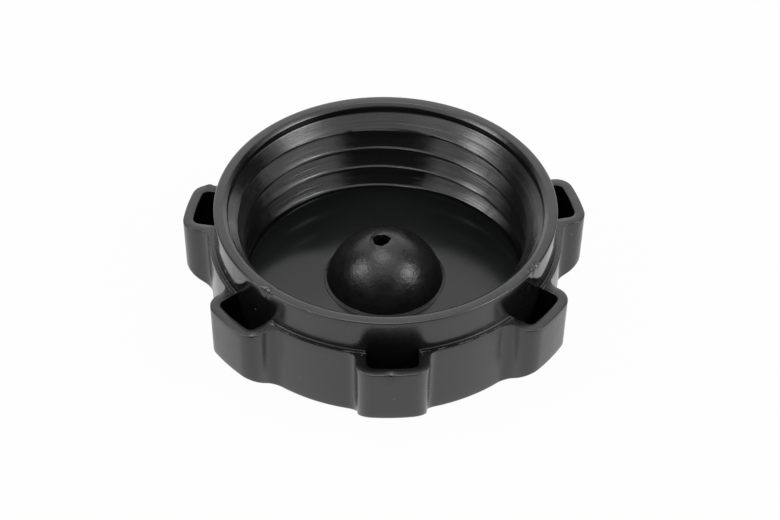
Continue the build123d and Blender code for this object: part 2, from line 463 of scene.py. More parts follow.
def ranged(value, low, high, start=0.0, end=1.0, curve="LINEAR"):
    """Value mapped from start and end to low and high, clamped."""
    inputs = {"Value": value, "From Min": start, "From Max": end, "To Min": low, "To Max": high}
    return add_node(value.tree, "ShaderNodeMapRange", inputs, interpolation_type=curve)[0]


def band(value, middle, half_width, soft):
    """1 within half_width of middle, falling to 0 over soft."""
    return ranged(abs(value - middle), 1.0, 0.0, half_width, half_width + soft)


def parts_of(vector):
    """X, Y and Z of a vector."""
    return add_node(vector.tree, "ShaderNodeSeparateXYZ", {0: vector})


def vector_of(x, y, z):
    """Vector from its parts, of which the first is an output."""
    return add_node(x.tree, "ShaderNodeCombineXYZ", {0: x, 1: y, 2: z})[0]


def new_tree(name, kind, inputs, outputs):
    """Node group and its given inputs. An input has its default here, or its type if it has none."""
    tree = bpy.data.node_groups.new(name, kind)
    for label, value in inputs.items():
        plain = isinstance(value, str)
        socket_type = value if plain else SOCKET_TYPES[type(value)]
        made = tree.interface.new_socket(label, in_out="INPUT", socket_type=socket_type)
        if not plain:
            made.default_value = value
    for label, socket_type in outputs.items():
        tree.interface.new_socket(label, in_out="OUTPUT", socket_type=socket_type)
    return tree, add_node(tree, "NodeGroupInput")


def end_with_material(tree, geometry, material):
    """Set Material and the output of a geometry tree."""
    painted = add_node(tree, "GeometryNodeSetMaterial", {"Geometry": geometry, "Material": material})
    add_node(tree, "NodeGroupOutput", {"Geometry": painted[0]})


def run_tree(piece, tree, values):
    """Plain mesh that a tree makes of a piece, which is then removed.

    The modifier's inputs are set through the sockets' identifiers.
    """
    modifier = piece.modifiers.new(tree.name, "NODES")
    modifier.node_group = tree
    for item in tree.interface.items_tree:
        if item.item_type == "SOCKET" and item.in_out == "INPUT" and item.name in values:
            modifier[item.identifier] = values[item.name]
    bpy.context.view_layer.update()
    evaluated = piece.evaluated_get(bpy.context.evaluated_depsgraph_get())
    mesh = bpy.data.meshes.new_from_object(evaluated)
    bpy.data.objects.remove(piece)
    return mesh


def lobed_ring_tree():
    """Tree that repeats one sector around the axis and welds it."""
    inputs = {
        "Geometry": "NodeSocketGeometry",
        "Lobes": 7,
        "First Lobe": -TURN / 4,
        "Weld": WELD,
        "Material": "NodeSocketMaterial",
    }
    tree, given = new_tree("Lobed Ring", "GeometryNodeTree", inputs, {"Geometry": "NodeSocketGeometry"})
    all_at_axis = {"Count": given["Lobes"], "Offset": (0.0, 0.0, 0.0)}
    centres = add_node(tree, "GeometryNodeMeshLine", all_at_axis, "one point for each lobe")
    sector = add_node(tree, "GeometryNodeGeometryToInstance", {0: given["Geometry"]})
    number = add_node(tree, "GeometryNodeInputIndex")[0]
    angle = number * (TURN / given["Lobes"]) + given["First Lobe"]
    turning = add_node(tree, "FunctionNodeAxisAngleToRotation", {"Axis": (0.0, 0.0, 1.0), "Angle": angle})
    copies = {"Points": centres[0], "Instance": sector[0], "Rotation": turning[0]}
    placed = add_node(tree, "GeometryNodeInstanceOnPoints", copies)
    real = add_node(tree, "GeometryNodeRealizeInstances", {0: placed[0]})
    welded = add_node(tree, "GeometryNodeMergeByDistance", {"Geometry": real[0], "Distance": given["Weld"]})
    end_with_material(tree, welded[0], given["Material"])
    return tree


def screw_thread_tree():
    """Tree that presses a buttress ridge out of a round wall and cuts it by the lead-in cone.

    The ridge has a small lip on its crest around the lip's middle, and its last turn has a gentler
    flank around the run-out's middle.
    """
    inputs = {
        "Geometry": "NodeSocketGeometry",
        "Root Radius": 0.0244,
        "Crest Radius": 0.0232,
        "Pitch": 0.0042,
        "Crest Width": 0.0003,
        "Upper Flank": 0.0026,
        "Lower Flank": 0.0006,
        "Lip Height": 0.0001,
        "Lip Share": 0.1,
        "Lip Middle": math.radians(92),
        "Lip Half": math.radians(30),
        "Lip Soft": math.radians(22),
        "Crest Height": 0.0153,
        "Bore Radius": 0.0258,
        "Bore Foot": 0.0182,
        "Cone Slope": 0.78,
        "Edge Share": 0.03,
        "Edge Radius": 0.00012,
        "Last Turn": -3.0,
        "Run-out Slope": 0.28,
        "Run-out Depth": 0.0005,
        "Run-out Middle": math.radians(48),
        "Run-out Half": math.radians(24),
        "Run-out Soft": math.radians(8),
        "Material": "NodeSocketMaterial",
    }
    tree, given = new_tree("Screw Thread", "GeometryNodeTree", inputs, {"Geometry": "NodeSocketGeometry"})
    x, y, z = parts_of(add_node(tree, "GeometryNodeInputPosition")[0])
    angle = maths("ARCTAN2", y, x)
    over_crest = z - (given["Crest Height"] + angle / TURN * given["Pitch"])
    half_crest = given["Crest Width"] * 0.5
    lowest = (given["Lower Flank"] + half_crest) * -WRAP_SHARE
    from_crest = maths("WRAP", over_crest, lowest + given["Pitch"], lowest)

    above = from_crest - half_crest
    no_lip = given["Lip Height"] / given["Upper Flank"]
    lip_reach = band(angle, given["Lip Middle"], given["Lip Half"], given["Lip Soft"])
    lip_share = (given["Lip Share"] - no_lip) * lip_reach + no_lip
    lip = above / given["Lip Height"] * lip_share
    past_lip = above / given["Upper Flank"] * (1.0 - lip_share) + lip_share
    up_flank = maths("SMOOTH_MIN", lip, past_lip, given["Edge Share"])
    down_flank = (from_crest + half_crest) / (given["Lower Flank"] * -1.0)
    flank = maths("SMOOTH_MAX", maths("MAXIMUM", up_flank, down_flank), 0.0, given["Edge Share"])
    flank = maths("SMOOTH_MIN", flank, 1.0, given["Edge Share"])
    ridge = flank * (given["Root Radius"] - given["Crest Radius"]) + given["Crest Radius"]

    over_last = over_crest - given["Last Turn"] * given["Pitch"]
    gentler = maths("MAXIMUM", over_last, 0.0) * given["Run-out Slope"]
    gentler = maths("MINIMUM", gentler, given["Run-out Depth"])
    under_next = given["Pitch"] + lowest + given["Lower Flank"]
    on_last = ranged(over_last, 1.0, 0.0, under_next * RUN_OUT_END, under_next)
    run_out_reach = band(angle, given["Run-out Middle"], given["Run-out Half"], given["Run-out Soft"])
    ridge = on_last * run_out_reach * gentler + ridge

    cone = given["Bore Radius"] - (given["Bore Foot"] - z) / given["Cone Slope"]
    radius = maths("SMOOTH_MAX", ridge, cone, given["Edge Radius"])
    place = vector_of(maths("COSINE", angle) * radius, maths("SINE", angle) * radius, z)
    on_wall = add_node(tree, "GeometryNodeInputNamedAttribute", {"Name": "on_wall"}, data_type="FLOAT")
    chosen = maths("GREATER_THAN", on_wall["Attribute"], 0.5)
    moves = {"Geometry": given["Geometry"], "Selection": chosen, "Position": place}
    moved = add_node(tree, "GeometryNodeSetPosition", moves)
    real = add_node(tree, "GeometryNodeRealizeInstances", {0: moved[0]})
    end_with_material(tree, real[0], given["Material"])
    return tree


# ---- shell ------------------------------------------------------------------


def mirrored(half):
    """Points across a whole sector, from points that run from a lobe's middle to the gap's middle."""
    other = half[::-1] * np.array([1.0, -1.0])
    return np.vstack([other, half[1:]])


def lobe_outline(s):
    """Half of the grip's plan at the ledge, and its outward normals, with the lobe along +X."""
    root_centre = np.array([0.0, s.lobe_half_width + s.lobe_root])
    root_centre[0] = math.sqrt((s.grip_radius + s.lobe_root) ** 2 - root_centre[1] ** 2)
    corner_centre = np.array([0.0, s.lobe_half_width - s.lobe_corner])
    corner_centre[0] = math.sqrt((s.lobe_reach - s.lobe_corner) ** 2 - corner_centre[1] ** 2)
    tip_end = math.atan2(corner_centre[1], corner_centre[0])
    gap_start = math.atan2(root_centre[1], root_centre[0])
    tip = np.linspace(0, tip_end, TIP_COLUMNS + 1)
    corner = steps_between(tip_end, TURN / 4, CORNER_COLUMNS)
    side = steps_between(corner_centre[0], root_centre[0], SIDE_COLUMNS)
    root = steps_between(-TURN / 4, gap_start - TURN / 2, ROOT_COLUMNS)
    gap = steps_between(gap_start, TURN / 2 / s.lobes, GAP_COLUMNS)
    plan = np.vstack(
        [
            on_circle(s.lobe_reach, tip),
            on_circle(s.lobe_corner, corner, corner_centre),
            np.column_stack([side, np.full(SIDE_COLUMNS, s.lobe_half_width)]),
            on_circle(s.lobe_root, root, root_centre),
            on_circle(s.grip_radius, gap),
        ]
    )
    normals = np.vstack(
        [
            on_circle(1, tip),
            on_circle(1, corner),
            np.tile([0.0, 1.0], (SIDE_COLUMNS, 1)),
            -on_circle(1, root),
            on_circle(1, gap),
        ]
    )
    return plan, normals


def pocket_outline(s):
    """Half of a pocket's plan, from its middle to the seam where its side meets the collar."""
    reach = s.lobe_reach - s.wall
    half_width = s.lobe_half_width - s.wall
    centre = np.array([0.0, half_width - s.pocket_corner])
    centre[0] = math.sqrt((reach - s.pocket_corner) ** 2 - centre[1] ** 2)
    tip_end = math.atan2(centre[1], centre[0])
    at_collar = math.sqrt(s.collar_radius**2 - half_width**2)
    side = steps_between(centre[0], at_collar + POCKET_SEAM, POCKET_SIDE_COLUMNS)
    return np.vstack(
        [
            on_circle(reach, np.linspace(0, tip_end, POCKET_TIP_COLUMNS + 1)),
            on_circle(s.pocket_corner, steps_between(tip_end, TURN / 4, POCKET_CORNER_COLUMNS), centre),
            np.column_stack([side, np.full(POCKET_SIDE_COLUMNS, half_width)]),
        ]
    )


def half_angles(s):
    """Angles of the collar's columns, from a lobe's middle to the middle of the gap."""
    pocket_end = math.asin((s.lobe_half_width - s.wall) / s.collar_radius)
    inside = np.linspace(0, pocket_end - POCKET_SEAM / s.collar_radius, POCKET_COLUMNS + 1)
    outside = np.linspace(pocket_end, TURN / 2 / s.lobes, HALF_COLUMNS - POCKET_COLUMNS)
    return np.concatenate([inside, outside])


def sector_angles(s):
    """Angles of all the columns of one sector."""
    half = half_angles(s)
    return np.concatenate([-half[::-1], half[1:]])


def ring_angles(s):
    """Angles of all the shell's columns around the axis, without the last, which is the first again."""
    sector = sector_angles(s)[:-1]
    return np.concatenate([sector - TURN / 4 + TURN * i / s.lobes for i in range(s.lobes)])


def cone_height(s, radius):
    """Height of the lead-in cone at a radius."""
    return s.height - s.bore_foot - (s.bore_radius - radius) * s.cone_slope


def outside_rows(s):
    """Rows of one sector from the crown's middle, round the grip and over the rim to the lead-in cone."""
    ledge = s.height - s.collar_height
    plan, normals = (mirrored(half) for half in lobe_outline(s))
    angles = sector_angles(s)
    slope = math.tan(s.draft)
    foot_reach = s.lobe_reach - (ledge - s.chamfer_height) * slope
    rise = s.chamfer_height / (foot_reach - s.crown_radius)
    foot_height = np.zeros(len(plan))
    for _ in range(FOOT_ROUNDS):
        foot = plan - normals * ((ledge - foot_height) * slope)[:, None]
        foot_height = (np.linalg.norm(foot, axis=1) - s.crown_radius) * rise
    foot_angles = np.arctan2(foot[:, 1], foot[:, 0])

    half_turn = half_angles(s)
    outside = half_turn[POCKET_COLUMNS + 2 :]
    seam = half_turn[POCKET_COLUMNS + 1 : POCKET_COLUMNS + 2]
    foot_ring = on_circle(s.collar_radius + COLLAR_FOOT_RUN, outside)
    inner = mirrored(np.vstack([pocket_outline(s), on_circle(s.collar_radius, seam), foot_ring]))
    under_collar = on_circle(s.collar_radius, half_turn[: POCKET_COLUMNS + 2])
    inner_foot = mirrored(np.vstack([under_collar, foot_ring]))
    is_pocket = np.abs(np.arange(len(plan)) - HALF_COLUMNS) <= POCKET_COLUMNS
    floor = np.where(is_pocket, s.pocket_floor, ledge)
    collar = on_circle(s.collar_radius, angles)
    corners = [
        (raised(on_circle(s.boss_radius - s.boss_wall, angles), 0), 0, 0, 4),
        (raised(on_circle(s.crown_radius, foot_angles), 0), CROWN_CUT, 3, 4),
        (raised(foot, foot_height), FOOT_CUT, 5, 8),
        (raised(plan, ledge), LEDGE_CUT, 4, 2),
        (raised(inner, ledge), POCKET_EDGE_CUT, 3, 5),
        (raised(inner, floor), POCKET_FLOOR_CUT, 3, 3),
        (raised(inner_foot, floor), POCKET_FLOOR_CUT, 3, 4),
        (raised(collar, ledge), COLLAR_FOOT_CUT, 4, 8, HIGH_SHARE),
        (raised(collar, s.height), RIM_CUT, 4, 3),
        (raised(on_circle(s.mouth_radius, angles), s.height), FINE_CUT, 2, 2),
        (raised(on_circle(s.bore_radius, angles), s.height - s.bore_top), FINE_CUT, 2, 2),
        (raised(on_circle(s.bore_radius, angles), s.height - s.bore_foot), FINE_CUT, 2, 2),
        (raised(on_circle(s.cone_end, angles), cone_height(s, s.cone_end)), 0, 0, 0),
    ]
    return section_rows(corners)


def inside_rows(s):
    """Rows of one sector from the gasket's seat over the floor and the boss to the crown's middle."""
    angles = sector_angles(s)
    floor, boss_top = GASKET_LOW.z, GASKET_LOW.z + s.boss_height
    boss_inside = s.boss_radius - s.boss_wall
    profile = [
        (s.seat_radius, GASKET_HIGH.z, 0, 0, 2),
        (s.seat_radius, floor, SEAT_CUT, 2, 4),
        (s.boss_radius, floor, SEAT_CUT, 2, 2),
        (s.boss_radius, boss_top, SEAT_CUT, 2, 1),
        (boss_inside, boss_top, SEAT_CUT, 2, 2),
        (boss_inside, floor, 0, 0, 0),
    ]
    return section_rows([(raised(on_circle(r, angles), z), *rest) for r, z, *rest in profile])


def middle_rows(s):
    """Rows around the whole crown's middle, through its off-centre vent hole."""
    angles = ring_angles(s)
    edge = on_circle(s.boss_radius - s.boss_wall, angles)
    hole = on_circle(s.vent_radius, angles, (s.vent_offset, 0))
    return section_rows(
        [
            (raised(edge, GASKET_LOW.z), 0, 0, 2),
            (raised(hole, GASKET_LOW.z), FINE_CUT, 2, 1),
            (raised(hole, 0), FINE_CUT, 2, 2),
            (raised(edge, 0), 0, 0, 0),
        ]
    )


def thread_grid(s):
    """Round wall whose rows climb with the thread, and the shoulder under it, with an open seam."""
    crest_height = s.height - s.crest_drop - s.pitch * s.start_angle / TURN
    half_crest = s.crest_width / 2
    below = [-half_crest - s.lower_flank * share for share in BELOW_ROWS]
    above = [half_crest + s.upper_flank * share for share in ABOVE_ROWS]
    top, bottom = cone_height(s, s.cone_end), GASKET_HIGH.z
    angles = ring_angles(s)
    angles = np.append(angles, angles[0] + TURN)
    climb = crest_height + s.pitch * angles / TURN
    turns = range(math.floor((bottom - climb[-1]) / s.pitch), math.ceil((top - climb[0]) / s.pitch) + 1)
    heights = sorted(turn * s.pitch + offset for turn in turns for offset in below + above)
    plan = on_circle(s.root_radius, angles)
    rows = [raised(plan, np.clip(climb + height, bottom, top)) for height in heights]
    rows.insert(0, raised(on_circle(s.seat_radius, angles), bottom))
    mesh = grid_mesh("thread_grid", rows)
    wall = mesh.attributes.new("on_wall", "FLOAT", "POINT")
    wall.data.foreach_set("value", np.repeat([0.0] + [1.0] * len(heights), len(angles)))
    return mesh, crest_height


def join_meshes(name, meshes):
    """One mesh from several."""
    work = bmesh.new()
    for mesh in meshes:
        work.from_mesh(mesh)
        bpy.data.meshes.remove(mesh)
    joined = bpy.data.meshes.new(name)
    work.to_mesh(joined)
    work.free()
    return joined


def shell_mesh(s, material):
    """The whole shell as one closed mesh."""
    halves = [grid_mesh("outside", outside_rows(s)), grid_mesh("inside", inside_rows(s))]
    sector = join_meshes("sector", halves)
    values = {"Lobes": s.lobes, "Material": material}
    ring = run_tree(new_object("sector", sector), lobed_ring_tree(), values)
    grid, crest_height = thread_grid(s)
    values = {size: getattr(s, size.lower().replace(" ", "_")) for size in THREAD_SIZES}
    values |= {"Crest Height": crest_height, "Bore Foot": s.height - s.bore_foot, "Material": material}
    wall = run_tree(new_object("thread_grid", grid), screw_thread_tree(), values)
    middle = grid_mesh("middle", middle_rows(s), closed_columns=True)
    shell = join_meshes("filler_cap_shell", [ring, wall, middle])
    close_mesh(shell)
    return shell


def press(points, radius, angle, height, reach, depth, inwards, down):
    """Pushes the points near a place on the shell, most at its middle and raggedly towards its edge."""
    outward = np.array([math.cos(angle), math.sin(angle), 0.0])
    along = np.array([-math.sin(angle), math.cos(angle), 0.0])
    upward = np.array([0.0, 0.0, 1.0])
    offset = (points - outward * radius - upward * height) @ np.array([outward, along, upward]).T
    away = np.linalg.norm(offset / np.array(reach), axis=1)
    for i in np.nonzero(away < 1)[0]:
        rough = 1 + DENT_ROUGHNESS * noise.noise(Vector(points[i]) / DENT_GRAIN)
        points[i] -= (outward * inwards + upward * down) * depth * rough * (1 - away[i] ** 2) ** 2


def wear_shell(s, mesh):
    """Nicks on the rim and the lobes, beads of flash where the mould's halves met, and small dents."""
    points = points_of(mesh)
    rim, lobe = s.collar_radius / MM, s.lobe_reach / MM
    top, ledge = s.height, s.height - s.collar_height
    # Each is radius in mm, angle in degrees, height in metres, reach in mm (out, along and up), depth
    # in mm, and the shares of it that go inwards and down.
    marks = (
        (rim, -134.3, top, (0.9, 1.5, 1.0), 0.5, 0.6, 0.8),
        (rim, -35.9, top, (0.8, 0.9, 0.8), 0.4, 0.6, 0.8),
        (rim, -32.9, top, (0.9, 0.7, 0.6), 0.3, 0.5, 0.9),
        (rim, -118, top, (0.4, 0.6, 0.4), 0.15, 0.6, 0.8),
        (lobe, -90.7, ledge, (0.6, 0.9, 0.5), 0.28, 0.8, 0.6),
        (32.7, -132, ledge, (0.5, 0.7, 0.5), 0.25, 0.6, 0.8),
        (31.7, 155.9, ledge, (0.9, 1.0, 0.7), 0.4, 0, -1),
        (28.2, -131.6, ledge, (0.6, 0.9, 0.5), 0.25, 0, -1),
    )
    for radius, angle, height, reach, depth, inwards, down in marks:
        reach = np.array(reach) * MM
        press(points, radius * MM, math.radians(angle), height, reach, depth * MM, inwards, down)
    scatter = np.random.default_rng(11)
    for _ in range(LOBE_DENTS):
        angle = scatter.uniform(-TURN / 2, TURN / 2)
        height = scatter.uniform(s.chamfer_height, ledge)
        size = scatter.uniform(*DENT_SIZES) * MM
        reach, depth = (size, size, size), DENT_DEPTH * size
        press(points, s.lobe_reach - DENT_BACK, angle, height, reach, depth, 1, 0)
    put_points(mesh, points)


# ---- gasket and baffle ------------------------------------------------------


def rounded_loop(corners):
    """Closed section through corners given as (radius, height, set back, rounding, steps)."""
    points = []
    for i, (*place, cut, steps) in enumerate(corners):
        here = np.array([place])
        if not cut:
            points.append(here[0])
            continue
        before = np.array([corners[i - 1][:-2]])
        after = np.array([corners[(i + 1) % len(corners)][:-2]])
        points += [row[0] for row in round_corner(before, here, after, cut, steps)]
    return points


def turned_mesh(name, section, columns):
    """Closed ring that a section makes around the axis, or around a centre set back from it."""
    angles = np.arange(columns) * TURN / columns
    rows = [raised(on_circle(radius, angles, (0, back)), height) for radius, height, back in section]
    mesh = grid_mesh(name, rows, closed_columns=True, closed_rows=True)
    close_mesh(mesh)
    return mesh


def gasket_section(s):
    """Flat ring with softened edges, and rings of points across its upper face."""
    inner, outer = s.gasket_hole, GASKET_HIGH.x
    low, high = GASKET_LOW.z, GASKET_HIGH.z
    edge = s.gasket_edge
    corners = [(inner, low, edge), (outer, low, edge), (outer, high, edge)]
    corners += [(radius, high, 0) for radius in np.linspace(outer, inner, GASKET_RINGS + 2)[1:-1]]
    corners.append((inner, high, FINE_EDGE))
    return rounded_loop([(radius, height, 0.0, cut, 4) for radius, height, cut in corners])


def press_hollow(s, mesh):
    """Shallow hollow in the gasket's upper face, where it has taken a set."""
    points = points_of(mesh)
    across = (points[:, 0] - s.hollow_x) / s.hollow_width
    along = (points[:, 1] - s.hollow_y) / s.hollow_length
    share = np.clip(1 - np.hypot(across, along), 0, 1)
    dip = share**3 * (share * (6 * share - 15) + 10)
    upper = points[:, 2] > (GASKET_LOW.z + GASKET_HIGH.z) / 2
    points[:, 2] -= np.where(upper, dip * s.hollow_depth, 0)
    put_points(mesh, points)


def ball_arc(radius, centre, angles):
    """Points of a dome's section, as (radius, height)."""
    return [(radius * math.cos(angle), centre + radius * math.sin(angle)) for angle in angles]


def baffle_section(s):
    """Dome on a short skirt, round to the vent hole and back down the inside."""
    ball = (s.dome_radius**2 + s.dome_height**2) / (2 * s.dome_height)
    centre = GASKET_HIGH.z + s.dome_base + s.dome_height - ball
    shoulder = GASKET_HIGH.z + s.shoulder
    foot, lip = math.asin((shoulder - centre) / ball), math.acos(s.hole_radius / ball)
    outer = ball_arc(ball, centre, np.linspace(foot, lip, DOME_STEPS))
    inside = ball - s.dome_wall
    foot, lip = math.acos(s.skirt_bore / inside), math.acos(s.hole_radius / inside)
    inner = ball_arc(inside, centre, np.linspace(lip, foot, DOME_STEPS))
    skirt, back = BAFFLE_HIGH.x, s.dome_back
    corners = [(s.skirt_bore, BAFFLE_LOW.z, 0.0, SEAT_CUT, 2), (skirt, BAFFLE_LOW.z, 0.0, SEAT_CUT, 2)]
    corners += [(skirt, shoulder, 0.0, FINE_EDGE, 3), (*outer[0], back, DOME_FOOT_CUT, 3)]
    corners += [(*point, back, 0, 0) for point in outer[1:-1]]
    corners += [(*outer[-1], back, FINE_CUT, 3), (*inner[0], back, FINE_CUT, 3)]
    shares = np.linspace(1, 0, len(inner))
    corners += [(*point, back * share, 0, 0) for point, share in zip(inner[1:], shares[1:])]
    return rounded_loop(corners)


def ragged_hole(s, mesh):
    """Moves the vent hole off centre and makes it uneven, with a burr that is highest on one side."""
    points = points_of(mesh)
    middle = np.array([0.0, s.dome_back])
    across = points[:, :2] - middle
    radius = np.hypot(*across.T)
    angle = np.arctan2(across[:, 1], across[:, 0])
    near = np.clip(1 - (radius - s.hole_radius) / HOLE_REACH, 0, 1) ** 2
    uneven = sum(size * np.sin(lobes * angle + start) for lobes, size, start in HOLE_LOBES)
    scale = 1 + near * uneven * MM / np.maximum(radius, FINE_CUT)
    shift = np.array([s.hole_shift, s.hole_back])
    points[:, :2] = middle + across * scale[:, None] + near[:, None] * shift
    top = points[:, 2] > BAFFLE_HIGH.z - 1 * MM
    ring = np.exp(-(((radius - s.hole_radius - BURR_RUN) / BURR_WIDTH) ** 2))
    burr = ring * (BURR_MEAN - BURR_SWING * np.cos(angle - BURR_LOW_SIDE))
    points[:, 2] += np.where(top, burr * BURR_HEIGHT - near * HOLE_SINK, 0)
    points[:, 2] = np.minimum(points[:, 2], BAFFLE_HIGH.z)
    put_points(mesh, points)


# ---- shader groups ----------------------------------------------------------


def surface_grain():
    """Group: fine grain over slow waves, as a height, and the slow waves alone, as a tone."""
    inputs = {"Vector": "NodeSocketVector", "Grain Scale": 2500.0, "Wave Scale": 180.0, "Grain Share": 0.3}
    outputs = {"Height": "NodeSocketFloat", "Tone": "NodeSocketFloat"}
    tree, given = new_tree("Surface Grain", "ShaderNodeTree", inputs, outputs)
    fine = {"Vector": given["Vector"], "Scale": given["Grain Scale"], "Detail": 3.0, "Roughness": 0.6}
    grain = add_node(tree, "ShaderNodeTexNoise", fine, "grain")["Fac"]
    slow = {"Vector": given["Vector"], "Scale": given["Wave Scale"], "Detail": 2.0}
    waves = add_node(tree, "ShaderNodeTexNoise", slow, "waves")["Fac"]
    height = grain * given["Grain Share"] + waves * (1.0 - given["Grain Share"])
    add_node(tree, "NodeGroupOutput", {"Height": height, "Tone": waves})
    return tree


def tool_rings():
    """Group: fine rings that a turned mould leaves, strongest towards one side."""
    inputs = {"Vector": "NodeSocketVector", "Rings": 5200.0, "Side": (1.0, 0.0, 0.0), "Spread": 0.6}
    tree, given = new_tree("Tool Rings", "ShaderNodeTree", inputs, {"Height": "NodeSocketFloat"})
    x, y, z = parts_of(given["Vector"])
    flat = vector_of(x, y, 0.0)
    radius = add_node(tree, "ShaderNodeVectorMath", {0: flat}, operation="LENGTH")["Value"]
    turned = {"W": z * RING_SLANT + radius, "Scale": given["Rings"], "Detail": 3.0}
    rings = add_node(tree, "ShaderNodeTexNoise", turned, "rings", noise_dimensions="1D")["Fac"]
    way = add_node(tree, "ShaderNodeVectorMath", {0: flat}, operation="NORMALIZE")[0]
    both = {0: way, 1: given["Side"]}
    towards = add_node(tree, "ShaderNodeVectorMath", both, operation="DOT_PRODUCT")["Value"]
    fade = ranged(towards, RING_FADE, 1.0, given["Spread"], 1.0, "SMOOTHSTEP")
    add_node(tree, "NodeGroupOutput", {"Height": rings * fade})
    return tree


def dust_specks():
    """Group: scattered specks of dust, as a mask."""
    inputs = {"Vector": "NodeSocketVector", "Scale": 420.0, "Size": 0.09, "Amount": 0.12}
    tree, given = new_tree("Dust Specks", "ShaderNodeTree", inputs, {"Mask": "NodeSocketFloat"})
    grid = {"Vector": given["Vector"], "Scale": given["Scale"]}
    cells = add_node(tree, "ShaderNodeTexVoronoi", grid, "one speck in a cell")
    chance, growth, _ = parts_of(cells["Color"])
    chosen = maths("LESS_THAN", chance, given["Amount"])
    spot = maths("LESS_THAN", cells["Distance"], given["Size"] * (growth + SMALLEST_SPECK))
    add_node(tree, "NodeGroupOutput", {"Mask": spot * chosen})
    return tree


SHADER_GROUPS = {"Surface Grain": surface_grain, "Tool Rings": tool_rings, "Dust Specks": dust_specks}


# ---- materials --------------------------------------------------------------


def place_group(name, vector, **values):
    """A shader group with its own values, built the first time it is asked for."""
    group = bpy.data.node_groups.get(name) or SHADER_GROUPS[name]()
    inputs = {key.replace("_", " ").title(): value for key, value in values.items()}
    return add_node(vector.tree, "ShaderNodeGroup", {"Vector": vector, **inputs}, node_tree=group)


def blend_colours(mask, first, second):
    """Colour that goes from first to second by a mask."""
    colours = [value if isinstance(value, Output) else (*value, 1.0) for value in (first, second)]
    inputs = {"Factor": mask, FIRST_COLOUR: colours[0], SECOND_COLOUR: colours[1]}
    return add_node(mask.tree, "ShaderNodeMix", inputs, data_type="RGBA")[MIXED_COLOUR]


def mottled(tone, colour, dark, light):
    """Colour times dark where a tone is 0, and times light where it is 1."""
    return blend_colours(tone, [part * dark for part in colour], [part * light for part in colour])


def new_material(name):
    """Material and its empty tree."""
    material = bpy.data.materials.new(name)
    material.use_nodes = True
    material.node_tree.nodes.clear()
    return material, material.node_tree


def object_place(tree):
    """Object coordinates."""
    return add_node(tree, "ShaderNodeTexCoord")["Object"]


def coat(tree, colour, roughness, ior, height, depth):
    """The material's shader. A height times a depth in metres bends its normals."""
    bump = add_node(tree, "ShaderNodeBump", {"Distance": depth, "Height": height})[0]
    looks = {"Base Color": colour, "Roughness": roughness, "IOR": ior, "Normal": bump}
    shader = add_node(tree, "ShaderNodeBsdfPrincipled", looks)[0]
    add_node(tree, "ShaderNodeOutputMaterial", {"Surface": shader})


def witness_line_and_highlight(tree, place, radius, z, shape):
    """Thin broken line on the ledge, where the mould's halves met. Its bump is a real line; the lighter
    colour it is given is a painted highlight.
    """
    on_ledge = band(z, shape.height - shape.collar_height, 0.12 * MM, 0.05 * MM)
    line = on_ledge * band(radius, shape.collar_radius + LINE_RUN, 0.05 * MM, 0.05 * MM)
    noisy = {"Vector": place, "Scale": 520.0, "Detail": 3.0}
    breaks = add_node(tree, "ShaderNodeTexNoise", noisy, "breaks in the line")["Fac"]
    return line * ranged(breaks, 0.0, 1.0, 0.47, 0.6)


def collar_scratch(tree, place, shape):
    """Upright scratch on the collar's outside."""
    turn = {"Vector": place, "Rotation": (0.0, 0.0, SCRATCH_ANGLE)}
    turned = add_node(tree, "ShaderNodeMapping", turn, "scratch along X", vector_type="TEXTURE")[0]
    along, across, up = parts_of(turned)
    middle = shape.height - shape.collar_height + SCRATCH_RISE
    scratch = band(across, 0.0, 0.03 * MM, 0.05 * MM) * band(up, middle, 1.4 * MM, 0.4 * MM)
    return scratch * maths("GREATER_THAN", along, shape.bore_radius)


def shell_material(s, shape):
    """Glossy moulded plastic with a witness line on the ledge lightened as a painted highlight, tool rings
    in the bore and a scratch.
    """
    material, tree = new_material("shell_plastic")
    place = object_place(tree)
    x, y, z = parts_of(place)
    radius = maths("SQRT", x * x + y * y)
    grain = place_group("Surface Grain", place, grain_share=0.22)
    rings = place_group("Tool Rings", place, rings=5200.0, side=(0.94, 0.34, 0.0), spread=0.3)
    specks = place_group("Dust Specks", place)
    line = witness_line_and_highlight(tree, place, radius, z, shape)
    scratch = collar_scratch(tree, place, shape)
    marks = maths("MAXIMUM", maths("MAXIMUM", line, scratch), specks["Mask"])

    plain = mottled(grain["Tone"], s.shell_colour, 0.8, 1.25)
    in_bore = ranged(radius, 1.0, 0.0, shape.bore_radius, shape.bore_radius + 0.3 * MM)
    at_side = ranged(abs(x), 0.0, 1.0, 15 * MM, 23 * MM)
    wall = shape.collar_radius - 0.15 * MM
    foot = shape.height - shape.collar_height + 0.2 * MM
    on_collar = ranged(radius, 0.0, 1.0, wall, wall + 0.1 * MM) * ranged(z, 0.0, 1.0, foot, foot + 0.4 * MM)
    roughness = ranged(grain["Tone"], 0.2, 0.3, 0.3, 0.7) - in_bore * BORE_GLOSS
    roughness = roughness - at_side * on_collar * COLLAR_GLOSS + marks * MARK_ROUGHNESS
    height = grain["Height"] + rings["Height"] * in_bore * RING_HEIGHT + (line + scratch) * MARK_HEIGHT
    # The ledge line's lighter colour is a painted highlight; on the scratch and the dust specks it is their
    # own colour.
    coat(tree, blend_colours(marks, plain, MARK_AND_HIGHLIGHT_COLOUR), roughness, 1.65, height, 0.05 * MM)
    return material


def gasket_material(s):
    """Smooth dark rubber sheet."""
    material, tree = new_material("gasket_rubber")
    place = object_place(tree)
    grain = place_group("Surface Grain", place, wave_scale=90.0, grain_share=0.12)
    rings = place_group("Tool Rings", place, rings=1400.0, side=(0.7, -0.7, 0.0), spread=0.2)
    specks = place_group("Dust Specks", place, scale=260.0, size=0.05, amount=0.08)
    plain = mottled(grain["Tone"], s.gasket_colour, 0.8, 1.2)
    roughness = ranged(grain["Tone"], 0.13, 0.2, 0.3, 0.7)
    height = rings["Height"] * 0.02 + grain["Height"]
    coat(tree, blend_colours(specks["Mask"], plain, DUST_COLOUR), roughness, 1.52, height, 0.03 * MM)
    return material


